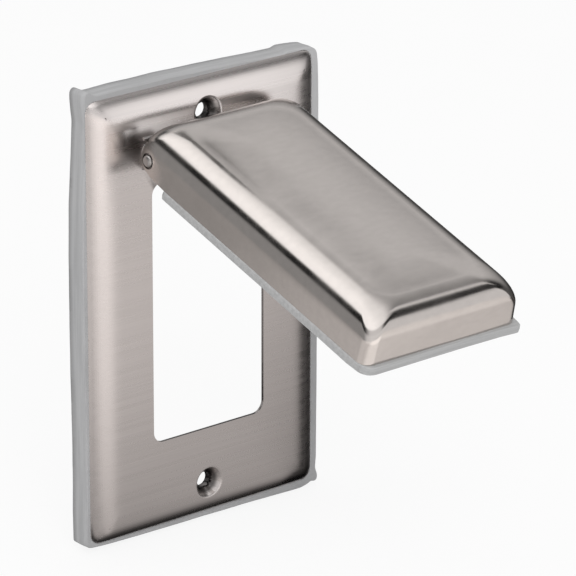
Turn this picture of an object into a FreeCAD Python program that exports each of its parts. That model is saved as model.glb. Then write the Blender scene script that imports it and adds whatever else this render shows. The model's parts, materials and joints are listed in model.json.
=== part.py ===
import FreeCAD, Part
import math
import os
import Sketcher

# Receptacle cover: a drawn steel wall plate with a hinged, spring-closed weather lid.
# Frame: +X right, +Y into the wall, +Z up. The origin is the centre of the cover on the wall
# surface, where the foam behind the plate ends.
# The lid and its gasket are drawn closed, about the hinge axis, and then turned open to rest.

doc = FreeCAD.newDocument("receptacle_cover")

# Positions closer than this, in millimetres, count as the same.
TOL = 1e-4

# Driving sizes in millimetres and degrees.
SIZES = [
    # Cover plate
    ("plate_width", 69.85, "outside width at the rim"),
    ("plate_height", 114.3, "outside height at the rim"),
    ("plate_depth", 3.0, "from the front face back to the rim"),
    ("plate_sheet", 0.8, "sheet thickness"),
    ("plate_bend", 4.5, "outside radius of the rolled edge"),
    ("plate_corner", 3.0, "radius of the four corners seen from the front"),
    ("opening_width", 34.6, "device opening"),
    ("opening_height", 67.5, "device opening"),
    ("opening_corner", 3.0, "corner radius of the device opening"),
    # Screw holes
    ("screw_spacing", 96.84, "between the two holes, along Z"),
    ("screw_bore", 4.0, "diameter of the hole"),
    ("dish_width", 8.0, "diameter of the countersunk dish round a hole"),
    ("dish_depth", 2.5, "depth of the dish"),
    ("dish_edge", 0.9, "rounding of the dish's edge"),
    ("dish_skirt", 0.4, "flat ring between the dish and the plate round it"),
    ("collar_depth", 4.3, "from the front face to the end of the drawn collar"),
    ("collar_wall", 0.5, "wall of the drawn collar"),
    # Hinge
    ("pin_drop", 14.55, "hinge axis below the plate's top edge"),
    ("pin_standoff", 6.0, "hinge axis in front of the plate's face"),
    ("pin_diameter", 3.2, "hinge pin"),
    ("pin_dome", 0.9, "rounding of the pin's ends"),
    ("pin_proud", 0.4, "how far each end stands out of the lid"),
    ("ear_sheet", 0.8, "thickness of the ears, lanced from the plate"),
    ("ear_gap", 2.8, "between an ear and the lid's wall"),
    ("ear_bend", 0.6, "inside radius at the foot of an ear"),
    ("ear_boss", 2.8, "radius of the ear round the pin"),
    ("ear_foot_low", 4.5, "foot of the ear below the pin"),
    ("ear_foot_high", 1.6, "foot of the ear above the pin"),
    ("ear_gap_blank", 0.3, "cut round the blank of an ear"),
    # Lid
    ("open_angle", 72.8, "opening angle at rest"),
    ("lid_width", 47.2, "outside width at the rim"),
    ("lid_reach", 85.5, "from the hinge axis to the front wall, at the rim"),
    ("lid_tail", 2.4, "from the hinge axis to the rear edge"),
    ("lid_overrun", 2.6, "how far the rear edge is trimmed inside the full roll"),
    ("lid_depth", 12.5, "from the rim to the top"),
    ("lid_sheet", 0.8, "sheet thickness"),
    ("lid_bend", 8.0, "outside radius between the top and the walls"),
    ("lid_corner", 3.0, "radius of the upright corners"),
    ("lid_draft", 3.0, "lean of the walls"),
    ("lid_pin_hole", 3.8, "hole for the pin in each side wall"),
    ("heel_lift", 1.5, "rise of the rim at the rear edge"),
    ("heel_run", 9.4, "length over which the rim rises"),
    # Lid gasket
    ("seal_foam", 2.3, "foam under the rim"),
    ("seal_gap", 0.3, "between the foam and the plate with the lid closed"),
    ("seal_start", 7.7, "from the hinge axis to the foam's square end"),
    ("seal_left", 0.3, "foam beyond the left wall"),
    ("seal_right", 1.0, "foam beyond the right wall"),
    ("seal_front", 1.0, "foam beyond the front wall"),
    ("seal_corner", 3.0, "corner radius of the foam"),
    ("seal_clear", 0.1, "between the foam and the inside of the walls"),
    ("seal_upstand", 2.5, "foam that stands up inside the walls"),
    ("seal_band", 6.0, "from the side of the lid's rim in to the cut-out"),
    ("seal_band_front", 6.5, "from the front of the lid's rim in to the cut-out"),
    ("seal_band_rear", 5.3, "from the foam's square end to the cut-out"),
    # Wall gasket
    ("wall_foam", 6.0, "thickness"),
    ("wall_foam_width", 73.2, "outside width"),
    ("wall_foam_height", 116.6, "outside height"),
    ("wall_foam_right", 0.5, "offset of the foam to the right"),
    ("wall_foam_down", 0.3, "offset of the foam downwards"),
    ("wall_foam_ring", 5.0, "width of the foam ring"),
    ("wall_foam_corner", 3.0, "corner radius of the foam"),
    # Torsion spring
    ("wire", 0.8, "wire diameter"),
    ("coil_play", 0.35, "between the pin and the coil"),
    ("coil_gap", 0.5, "between the coil and the left ear"),
    ("coil_pitch", 1.0, "from turn to turn"),
    ("coil_turns", 6, "turns begun"),
    ("foot_height", 3.5, "end of the fixed leg above the pin"),
    ("leg_height", 4.6, "leg on the lid's wall, from the pin towards the top of the lid"),
    ("leg_gap", 0.1, "between the leg and the lid's rear edge"),
    ("leg_reach", 0.1, "leg beyond the outside of the lid's wall"),
    ("leg_bend", 0.8, "radius of the wire's bend, at its middle"),
]

sheet = doc.addObject("Spreadsheet::Sheet", "sizes")
for row, (alias, size, meaning) in enumerate(SIZES, start=1):
    sheet.set(f"A{row}", alias)
    sheet.set(f"B{row}", str(size))
    sheet.set(f"C{row}", meaning)
    sheet.setAlias(f"B{row}", alias)
doc.recompute()

# Places that follow from the sizes, as expressions on the sheet.
FACE_Y = "-(sizes.wall_foam + sizes.plate_depth)"
RIM_Y = "-sizes.wall_foam"
PIN_Y = f"({FACE_Y} - sizes.pin_standoff)"
PIN_Z = "(sizes.plate_height / 2 - sizes.pin_drop)"
LID_RIM = "(sizes.pin_standoff - sizes.seal_gap - sizes.seal_foam)"
LEAN = "tan(sizes.lid_draft)"
LID_INSIDE = f"(sizes.lid_width / 2 - sizes.lid_sheet / cos(sizes.lid_draft) - {LID_RIM} * {LEAN})"
EAR_FACE = f"({LID_INSIDE} - sizes.ear_gap)"
EAR_BASE = f"({EAR_FACE} + sizes.ear_bend)"
EAR_BLANK = ("(pi / 2 * (sizes.ear_bend + sizes.ear_sheet / 2)"
             " + sizes.pin_standoff - sizes.ear_bend)")


def number(alias):
    """A size as a plain number, for shapes that are set in code."""
    return float(sheet.get(alias))


def body(label, hinged=False):
    """A new body; a hinged one is drawn about the hinge axis and turned open."""
    new = doc.addObject("PartDesign::Body", label)
    new.Label = label
    if hinged:
        new.Placement.Rotation = FreeCAD.Rotation(FreeCAD.Vector(-1, 0, 0), 1)
        new.setExpression("Placement.Rotation.Angle", "sizes.open_angle")
        place_on_hinge(new)
    return new


def place_on_hinge(item):
    item.setExpression("Placement.Base.y", PIN_Y)
    item.setExpression("Placement.Base.z", PIN_Z)


def origin_feature(owner, role):
    """One of a body's own planes or axes."""
    return next(f for f in owner.Origin.OriginFeatures if f.Role == role)


def sketch(owner, name, plane, offset="0"):
    """A sketch on one of the body's own planes, moved along that plane's normal."""
    new = owner.newObject("Sketcher::SketchObject", name)
    new.AttachmentSupport = (origin_feature(owner, plane), "")
    new.MapMode = "FlatFace"
    new.setExpression("AttachmentOffset.Base.z", offset)
    return new


def bind(item, kind, *where, size, start):
    """Add a dimension to a sketch and bind it to an expression."""
    index = item.addConstraint(Sketcher.Constraint(kind, *where, start))
    item.setExpression(f"Constraints[{index}]", size)


def value_of(expression):
    """The present value of an expression on the sheet."""
    found = sheet.evalExpression(expression)
    return float(getattr(found, "Value", found))


def rectangle(item, left, right, low, high, corner=None):
    """A rectangle from four positions, with rounded corners where a radius is given."""
    x0, x1, z0, z1 = (value_of(e) for e in (left, right, low, high))
    r = value_of(corner) if corner else 0.0
    point = FreeCAD.Vector
    sides = [
        (point(x0 + r, z0), point(x1 - r, z0)),
        (point(x1, z0 + r), point(x1, z1 - r)),
        (point(x1 - r, z1), point(x0 + r, z1)),
        (point(x0, z1 - r), point(x0, z0 + r)),
    ]
    lines = [item.addGeometry(Part.LineSegment(*ends)) for ends in sides]
    if corner:
        centres = [(x1 - r, z0 + r), (x1 - r, z1 - r), (x0 + r, z1 - r), (x0 + r, z0 + r)]
        arcs = []
        for turn, (cx, cz) in enumerate(centres):
            circle = Part.Circle(point(cx, cz), point(0, 0, 1), r)
            begin = math.radians(90 * turn - 90)
            arcs.append(item.addGeometry(Part.ArcOfCircle(circle, begin, begin + math.pi / 2)))
        for turn in range(4):
            item.addConstraint(Sketcher.Constraint("Tangent", lines[turn], 2, arcs[turn], 1))
            item.addConstraint(Sketcher.Constraint("Tangent", arcs[turn], 2, lines[(turn + 1) % 4], 1))
        for arc in arcs[1:]:
            item.addConstraint(Sketcher.Constraint("Equal", arcs[0], arc))
        bind(item, "Radius", arcs[0], size=corner, start=r)
    else:
        for turn in range(4):
            item.addConstraint(
                Sketcher.Constraint("Coincident", lines[turn], 2, lines[(turn + 1) % 4], 1))
    for turn, line in enumerate(lines):
        item.addConstraint(Sketcher.Constraint("Vertical" if turn % 2 else "Horizontal", line))
    bind(item, "DistanceX", -1, 1, lines[1], 1, size=right, start=x1)
    bind(item, "DistanceX", -1, 1, lines[3], 1, size=left, start=x0)
    bind(item, "DistanceY", -1, 1, lines[2], 1, size=high, start=z1)
    bind(item, "DistanceY", -1, 1, lines[0], 1, size=low, start=z0)


def disc(item, centre_x, centre_z, diameter):
    """A circle from its centre and diameter."""
    x, z, d = (value_of(e) for e in (centre_x, centre_z, diameter))
    ring = item.addGeometry(Part.Circle(FreeCAD.Vector(x, z), FreeCAD.Vector(0, 0, 1), d / 2))
    bind(item, "Diameter", ring, size=diameter, start=d)
    bind(item, "DistanceX", -1, 1, ring, 3, size=centre_x, start=x)
    bind(item, "DistanceY", -1, 1, ring, 3, size=centre_z, start=z)


def polygon(item, corners):
    """A closed outline from the positions of its corners."""
    places = [(value_of(x), value_of(z)) for x, z in corners]
    ends = places[1:] + places[:1]
    lines = []
    for begin, end in zip(places, ends):
        lines.append(item.addGeometry(Part.LineSegment(FreeCAD.Vector(*begin), FreeCAD.Vector(*end))))
    for index, line in enumerate(lines):
        item.addConstraint(Sketcher.Constraint("Coincident", line, 2, lines[(index + 1) % len(lines)], 1))
    for line, (x, z), (px, pz) in zip(lines, corners, places):
        bind(item, "DistanceX", -1, 1, line, 1, size=x, start=px)
        bind(item, "DistanceY", -1, 1, line, 1, size=z, start=pz)
    return lines


def lug(item, base, low, high, centre_x, centre_z, radius):
    """A lug: a straight foot at base, from low to high, that narrows to a round end."""
    xb, z0, z1, cx, cz, r = (value_of(e) for e in (base, low, high, centre_x, centre_z, radius))
    centre = FreeCAD.Vector(cx, cz)
    touch = []
    for z, turn in ((z0, -1), (z1, 1)):
        away = FreeCAD.Vector(xb, z) - centre
        heading = math.atan2(away.y, away.x) + turn * math.acos(r / away.Length) * math.copysign(1, xb - cx)
        touch.append(heading)
    at = [centre + FreeCAD.Vector(math.cos(a), math.sin(a)) * r for a in touch]
    foot = item.addGeometry(Part.LineSegment(FreeCAD.Vector(xb, z1), FreeCAD.Vector(xb, z0)))
    lower = item.addGeometry(Part.LineSegment(FreeCAD.Vector(xb, z0), at[0]))
    circle = Part.Circle(centre, FreeCAD.Vector(0, 0, 1), r)
    if xb > cx:
        end = item.addGeometry(Part.ArcOfCircle(circle, touch[1], touch[0] + 2 * math.pi))
        first, last = 2, 1
    else:
        end = item.addGeometry(Part.ArcOfCircle(circle, touch[0], touch[1]))
        first, last = 1, 2
    upper = item.addGeometry(Part.LineSegment(at[1], FreeCAD.Vector(xb, z1)))
    item.addConstraint(Sketcher.Constraint("Coincident", foot, 2, lower, 1))
    item.addConstraint(Sketcher.Constraint("Tangent", lower, 2, end, first))
    item.addConstraint(Sketcher.Constraint("Tangent", end, last, upper, 1))
    item.addConstraint(Sketcher.Constraint("Coincident", upper, 2, foot, 1))
    item.addConstraint(Sketcher.Constraint("Vertical", foot))
    bind(item, "Radius", end, size=radius, start=r)
    bind(item, "DistanceX", -1, 1, end, 3, size=centre_x, start=cx)
    bind(item, "DistanceY", -1, 1, end, 3, size=centre_z, start=cz)
    bind(item, "DistanceX", -1, 1, foot, 1, size=base, start=xb)
    bind(item, "DistanceY", -1, 1, foot, 1, size=high, start=z1)
    bind(item, "DistanceY", -1, 1, foot, 2, size=low, start=z0)


def feature(owner, kind, name, profile, **settings):
    """A sketch-based feature; a setting given as text is an expression."""
    new = owner.newObject(f"PartDesign::{kind}", name)
    new.Profile = profile
    profile.Visibility = False
    for key, setting in settings.items():
        if isinstance(setting, str) and key != "Type":
            new.setExpression(key, setting)
        else:
            setattr(new, key, setting)
    doc.recompute()
    return new


def edges_where(shape, wanted):
    """Names of the edges whose lowest and highest corners pass a test."""
    return [f"Edge{i}" for i, edge in enumerate(shape.Edges, start=1) if wanted(edge.BoundBox)]


def fillet(owner, name, base, names, radius):
    new = owner.newObject("PartDesign::Fillet", name)
    new.Base = (base, names)
    new.setExpression("Radius", radius)
    doc.recompute()
    return new


def shell(owner, name, base, open_at, wall):
    """Hollow a block to its wall, inwards, open at the face that lies at a place along Y."""
    new = owner.newObject("PartDesign::Thickness", name)
    new.Base = (base, [flat_face(base.Shape, open_at, 1)])
    new.Reversed = True
    new.Join = 1
    new.setExpression("Value", wall)
    doc.recompute()
    return new


def round_shell(owner, name, base, front, rim, bend, corner, wall):
    """Round a drawn sheet between two places along Y: its bends to the front and its upright
    corners, first inside and then outside."""
    for layer, depth, less in (("inside", value_of(wall), f" - {wall}"), ("outside", 0.0, "")):
        level = front + depth
        flat = edges_where(base.Shape, lambda box: abs(box.YMin - level) < TOL and box.YLength < TOL)
        base = fillet(owner, f"{name}_{layer}_bends", base, flat, bend + less)
        begin = level + value_of(bend + less) / 2
        upright = edges_where(base.Shape, lambda box: box.YMin > begin and abs(box.YMax - rim) < TOL
                              and box.YLength > max(box.XLength, box.ZLength))
        if layer == "outside":
            reach = max(outer_reach(base.Shape, edge) for edge in upright)
            upright = [edge for edge in upright if outer_reach(base.Shape, edge) > reach - TOL]
        base = fillet(owner, f"{name}_{layer}_corners", base, upright, corner + less)
    return base


def outer_reach(shape, edge):
    """How far an edge lies from the plane X = 0."""
    box = shape.Edges[int(edge[4:]) - 1].BoundBox
    return max(-box.XMin, box.XMax)


def flat_face(shape, position, axis):
    """Name of the largest flat face that lies at a position along an axis."""
    lies = [(face.Area, f"Face{i}") for i, face in enumerate(shape.Faces, start=1)
            if abs(face.BoundBox.getPoint(0)[axis] - position) < TOL
            and abs(face.BoundBox.getPoint(6)[axis] - position) < TOL]
    return max(lies)[1]


def cover_plate():
    """The drawn plate: rolled edge, opening, dished screw holes and the two hinge ears."""
    plate = body("cover_plate")
    # The roll is less than a quarter turn, so it starts on a wider block that is cut at the rim.
    past_rim = ("(sizes.plate_bend"
                " - sqrt(sizes.plate_bend^2 - max(0; sizes.plate_bend - sizes.plate_depth)^2))")
    half_x = f"(sizes.plate_width / 2 + {past_rim})"
    half_z = f"(sizes.plate_height / 2 + {past_rim})"
    outline = sketch(plate, "plate_outline", "XZ_Plane", f"-({FACE_Y})")
    rectangle(outline, f"-{half_x}", half_x, f"-{half_z}", half_z)
    past_depth = "sizes.plate_bend"
    block = feature(plate, "Pad", "plate_block", outline, Reversed=True,
                    Length=f"sizes.plate_depth + {past_depth}")
    face = value_of(FACE_Y)
    back = value_of(f"{RIM_Y} + {past_depth}")
    hollow = shell(plate, "plate_shell", block, back, "sizes.plate_sheet")
    round_shell(plate, "plate", hollow, face, back,
                "sizes.plate_bend", "sizes.plate_corner", "sizes.plate_sheet")
    trim = sketch(plate, "plate_trim_outline", "XZ_Plane", f"-({RIM_Y})")
    margin = "2 * sizes.plate_bend"
    rectangle(trim, f"-{half_x} - {margin}", f"{half_x} + {margin}",
              f"-{half_z} - {margin}", f"{half_z} + {margin}")
    feature(plate, "Pocket", "plate_trim", trim, Type="Length", Length="2 * sizes.plate_bend")

    opening = sketch(plate, "opening_outline", "XZ_Plane", f"-({FACE_Y})")
    rectangle(opening, "-sizes.opening_width / 2", "sizes.opening_width / 2",
              "-sizes.opening_height / 2", "sizes.opening_height / 2", "sizes.opening_corner")
    feature(plate, "Pocket", "opening", opening, Type="Length", Length="sizes.plate_depth")
    screw_holes(plate)
    hinge_ears(plate)
    return plate


def screw_holes(plate):
    """Two holes, each with a dish in front and a collar drawn behind."""
    skirt = "sizes.dish_width / 2 + sizes.dish_skirt"
    for name, side in (("top", ""), ("bottom", "-")):
        level = f"{side}sizes.screw_spacing / 2"
        blank = sketch(plate, f"{name}_hole_outline", "XZ_Plane", f"-({FACE_Y})")
        disc(blank, "0", level, "sizes.dish_width + sizes.dish_skirt")
        feature(plate, "Pocket", f"{name}_hole", blank, Type="Length", Length="sizes.plate_depth")
        # Half section through the dish and the collar, on the plane X = 0 (across is +Y).
        section = sketch(plate, f"{name}_collar_section", "YZ_Plane")
        bore = f"{level} + sizes.screw_bore / 2"
        polygon(section, [
            (FACE_Y, f"{level} + {skirt}"),
            (FACE_Y, f"{level} + sizes.dish_width / 2"),
            (f"{FACE_Y} + sizes.dish_depth", bore),
            (f"{FACE_Y} + sizes.collar_depth", bore),
            (f"{FACE_Y} + sizes.collar_depth", f"{bore} + sizes.collar_wall"),
            (f"{FACE_Y} + sizes.dish_depth + sizes.plate_sheet / 2", f"{bore} + sizes.collar_wall"),
            (f"{FACE_Y} + sizes.plate_sheet", f"{level} + {skirt}"),
        ])
        face, middle = value_of(FACE_Y), value_of(level)
        axis = section.addGeometry(
            Part.LineSegment(FreeCAD.Vector(face, middle), FreeCAD.Vector(0, middle)), True)
        section.addConstraint(Sketcher.Constraint("Horizontal", axis))
        section.addConstraint(Sketcher.Constraint("PointOnObject", axis, 2, -2))
        bind(section, "DistanceX", -1, 1, axis, 1, size=FACE_Y, start=face)
        bind(section, "DistanceY", -1, 1, axis, 1, size=level, start=middle)
        collar = feature(plate, "Revolution", f"{name}_collar", section,
                         ReferenceAxis=(section, ["Axis0"]), Angle=360)
        radius = number("dish_width") / 2
        edge = edges_where(collar.Shape, lambda box: abs(box.ZLength - 2 * radius) < TOL
                           and abs(box.Center.z - middle) < TOL and abs(box.YMax - face) < TOL)
        fillet(plate, f"{name}_dish_edge", collar, edge, "sizes.dish_edge")


def hinge_ears(plate):
    """Ears lanced from the plate, bent forward, and bored for the pin."""
    foot_low = f"{PIN_Z} - sizes.ear_foot_low"
    foot_high = f"{PIN_Z} + sizes.ear_foot_high"
    # Each blank leaves its own window in the plate.
    for name, side in (("left", -1), ("right", 1)):
        window = sketch(plate, f"{name}_window_outline", "XZ_Plane", f"-({FACE_Y})")
        lug(window, f"{side} * {EAR_BASE}", foot_low, foot_high,
            f"{side} * ({EAR_BASE} - {EAR_BLANK})", PIN_Z,
            "sizes.ear_boss + sizes.ear_gap_blank")
        feature(plate, "Pocket", f"{name}_window", window, Type="Length", Length="sizes.plate_depth")

    flange = sketch(plate, "ear_outline", "YZ_Plane", f"{EAR_FACE} - sizes.ear_sheet")
    lug(flange, f"{FACE_Y} - sizes.ear_bend", foot_low, foot_high, PIN_Y, PIN_Z,
        "sizes.ear_boss")
    ear = feature(plate, "Pad", "ear", flange, Length="sizes.ear_sheet")

    # The bend at the foot of the ear, as a quarter ring carried up the foot's height.
    bend = sketch(plate, "ear_bend_section", "XY_Plane", foot_low)
    cx, cy = value_of(EAR_BASE), value_of(f"{FACE_Y} - sizes.ear_bend")
    inner, outer = number("ear_bend"), number("ear_bend") + number("ear_sheet")
    up, centre = FreeCAD.Vector(0, 0, 1), FreeCAD.Vector(cx, cy)
    arcs = [bend.addGeometry(Part.ArcOfCircle(Part.Circle(centre, up, r), math.pi / 2, math.pi))
            for r in (inner, outer)]
    ends = [bend.addGeometry(Part.LineSegment(centre + a * inner, centre + a * outer))
            for a in (FreeCAD.Vector(0, 1), FreeCAD.Vector(-1, 0))]
    for arc, place in zip(arcs, (1, 2)):
        bend.addConstraint(Sketcher.Constraint("Coincident", arc, 1, ends[0], place))
        bend.addConstraint(Sketcher.Constraint("Coincident", arc, 2, ends[1], place))
    bend.addConstraint(Sketcher.Constraint("Coincident", arcs[0], 3, arcs[1], 3))
    for end, way in zip(ends, ("Vertical", "Horizontal")):
        bend.addConstraint(Sketcher.Constraint(way, end))
        bend.addConstraint(Sketcher.Constraint("PointOnObject", arcs[0], 3, end))
    bind(bend, "Radius", arcs[0], size="sizes.ear_bend", start=inner)
    bind(bend, "Radius", arcs[1], size="sizes.ear_bend + sizes.ear_sheet", start=outer)
    bind(bend, "DistanceX", -1, 1, arcs[0], 3, size=EAR_BASE, start=cx)
    bind(bend, "DistanceY", -1, 1, arcs[0], 3, size=f"{FACE_Y} - sizes.ear_bend", start=cy)
    foot = feature(plate, "Pad", "ear_bend_pad", bend, Length="sizes.ear_foot_low + sizes.ear_foot_high")

    mirror = plate.newObject("PartDesign::Mirrored", "ear_pair")
    mirror.Originals = [ear, foot]
    mirror.MirrorPlane = (origin_feature(plate, "YZ_Plane"), [""])
    plate.Tip = mirror
    doc.recompute()

    hole = sketch(plate, "ear_hole_outline", "YZ_Plane")
    disc(hole, PIN_Y, PIN_Z, "sizes.pin_diameter")
    feature(plate, "Pocket", "ear_holes", hole, Type="Length", Midplane=True, Length="sizes.plate_width")


def lid():
    """The drawn lid, closed: X across, Y towards the plate, Z up along the lid."""
    cover = body("lid", hinged=True)
    rim, top = value_of(LID_RIM), value_of(f"{LID_RIM} - sizes.lid_depth")
    lean = f"sizes.lid_depth * {LEAN}"
    block = cover.newObject("PartDesign::AdditiveWedge", "lid_block")
    rim_edges = {"X2min": "-sizes.lid_width / 2", "X2max": "sizes.lid_width / 2",
                 "Z2min": "-sizes.lid_reach", "Z2max": "sizes.lid_tail + sizes.lid_overrun"}
    for side, place in rim_edges.items():
        block.setExpression(side, place)
        toward_middle = "+" if side.endswith("min") else "-"
        block.setExpression(side.replace("2", ""), f"{place} {toward_middle} {lean}")
    block.setExpression("Ymin", f"{LID_RIM} - sizes.lid_depth")
    block.setExpression("Ymax", LID_RIM)
    doc.recompute()
    hollow = shell(cover, "lid_shell", block, rim, "sizes.lid_sheet")
    round_shell(cover, "lid", hollow, top, rim, "sizes.lid_bend", "sizes.lid_corner", "sizes.lid_sheet")

    # The side view of what is trimmed away: behind the rear edge and under the raised heel.
    trim = sketch(cover, "lid_trim_outline", "YZ_Plane")
    heel = f"{LID_RIM} - sizes.heel_lift"
    beyond = f"{LID_RIM} + sizes.lid_depth"
    behind = "sizes.lid_tail + 2 * sizes.lid_depth"
    start = "sizes.lid_tail - sizes.heel_run"
    places = [(heel, "sizes.lid_tail"), (f"{LID_RIM} - 2 * sizes.lid_depth", "sizes.lid_tail"),
              (f"{LID_RIM} - 2 * sizes.lid_depth", behind), (beyond, behind), (beyond, start),
              (LID_RIM, start)]
    points = [FreeCAD.Vector(value_of(y), value_of(z)) for y, z in places]
    lines = [trim.addGeometry(Part.LineSegment(a, b)) for a, b in zip(points, points[1:])]
    lift, run = number("heel_lift"), number("heel_run")
    radius = (lift ** 2 + run ** 2) / (2 * lift)
    rise = Part.Circle(points[-1] - FreeCAD.Vector(radius, 0), FreeCAD.Vector(0, 0, 1), radius)
    arc = trim.addGeometry(Part.ArcOfCircle(rise, 0, math.asin(run / radius)))
    for line, following in zip(lines, lines[1:]):
        trim.addConstraint(Sketcher.Constraint("Coincident", line, 2, following, 1))
    trim.addConstraint(Sketcher.Constraint("Coincident", lines[-1], 2, arc, 1))
    trim.addConstraint(Sketcher.Constraint("Coincident", arc, 2, lines[0], 1))
    for line, (y, z), point in zip(lines, places, points):
        bind(trim, "DistanceX", -1, 1, line, 1, size=y, start=point.x)
        bind(trim, "DistanceY", -1, 1, line, 1, size=z, start=point.y)
    trim.addConstraint(Sketcher.Constraint("Horizontal", lines[-1]))
    bind(trim, "DistanceX", -1, 1, arc, 1, size=LID_RIM, start=points[-1].x)
    bind(trim, "Radius", arc, size="(sizes.heel_lift^2 + sizes.heel_run^2) / (2 * sizes.heel_lift)",
         start=radius)
    feature(cover, "Pocket", "lid_trim", trim, Type="Length", Midplane=True, Length="2 * sizes.lid_width")

    hole = sketch(cover, "lid_hole_outline", "YZ_Plane")
    disc(hole, "0", "0", "sizes.lid_pin_hole")
    feature(cover, "Pocket", "lid_holes", hole, Type="Length", Midplane=True, Length="2 * sizes.lid_width")
    return cover


def hinge_pin():
    """The pin, tight in the ears, with domed ends that stand out of the lid's walls."""
    pin = body("hinge_pin")
    place_on_hinge(pin)
    wall_outside = f"(sizes.lid_width / 2 - {LID_RIM} * {LEAN})"
    half = f"({wall_outside} + sizes.pin_proud)"
    outline = sketch(pin, "pin_outline", "YZ_Plane", f"-{half}")
    disc(outline, "0", "0", "sizes.pin_diameter")
    shaft = feature(pin, "Pad", "pin_shaft", outline, Length=f"2 * {half}")
    rims = edges_where(shaft.Shape, lambda box: box.XLength < TOL)
    fillet(pin, "pin_domes", shaft, rims, "sizes.pin_dome")
    return pin


def lid_gasket():
    """Foam ring under the lid's rim, with an upstand glued inside the walls."""
    foam = body("lid_gasket", hinged=True)
    half = "sizes.lid_width / 2"
    cut = (f"-({half} - sizes.seal_band)", f"{half} - sizes.seal_band",
           "-(sizes.lid_reach - sizes.seal_band_front)", "-(sizes.seal_start + sizes.seal_band_rear)")
    wall = f"(sizes.lid_sheet / cos(sizes.lid_draft) + sizes.seal_upstand * {LEAN} + sizes.seal_clear)"
    inside = f"({half} - {wall})"
    front = f"-(sizes.lid_reach - {wall})"

    flange = sketch(foam, "seal_outline", "XZ_Plane", f"-({LID_RIM} + sizes.seal_foam)")
    rectangle(flange, f"-({half} + sizes.seal_left)", f"{half} + sizes.seal_right",
              "-(sizes.lid_reach + sizes.seal_front)", "-sizes.seal_start")
    under = feature(foam, "Pad", "seal_under_rim", flange, Length="sizes.seal_foam")
    low = -value_of("sizes.lid_reach + sizes.seal_front")
    ends = edges_where(under.Shape, lambda box: box.YLength > TOL and box.XLength < TOL
                       and box.ZLength < TOL and abs(box.ZMin - low) < TOL)
    fillet(foam, "seal_corners", under, ends, "sizes.seal_corner")

    stand = sketch(foam, "seal_upstand_outline", "XZ_Plane", f"-{LID_RIM}")
    rectangle(stand, f"-{inside}", inside, front, "-sizes.seal_start", "sizes.lid_corner")
    feature(foam, "Pad", "seal_upstand_block", stand, Length="sizes.seal_upstand")
    hollow = sketch(foam, "seal_cut_outline", "XZ_Plane", f"-({LID_RIM} + sizes.seal_foam)")
    rectangle(hollow, *cut, "sizes.opening_corner")
    feature(foam, "Pocket", "seal_cut", hollow, Type="Length", Reversed=True,
            Length="sizes.seal_foam + sizes.seal_upstand")
    return foam


def wall_gasket():
    """Foam ring between the plate's rim and the wall."""
    foam = body("wall_gasket")
    x0 = "sizes.wall_foam_right - sizes.wall_foam_width / 2"
    x1 = "sizes.wall_foam_right + sizes.wall_foam_width / 2"
    z0 = "-sizes.wall_foam_down - sizes.wall_foam_height / 2"
    z1 = "-sizes.wall_foam_down + sizes.wall_foam_height / 2"
    ring = "sizes.wall_foam_ring"
    outline = sketch(foam, "foam_outline", "XZ_Plane")
    rectangle(outline, x0, x1, z0, z1, "sizes.wall_foam_corner")
    feature(foam, "Pad", "foam_block", outline, Length="sizes.wall_foam")
    hollow = sketch(foam, "foam_cut_outline", "XZ_Plane")
    rectangle(hollow, f"{x0} + {ring}", f"{x1} - {ring}", f"{z0} + {ring}", f"{z1} - {ring}",
              "sizes.wall_foam_corner")
    feature(foam, "Pocket", "foam_cut", hollow, Type="Length", Reversed=True, Length="sizes.wall_foam")
    return foam


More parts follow.
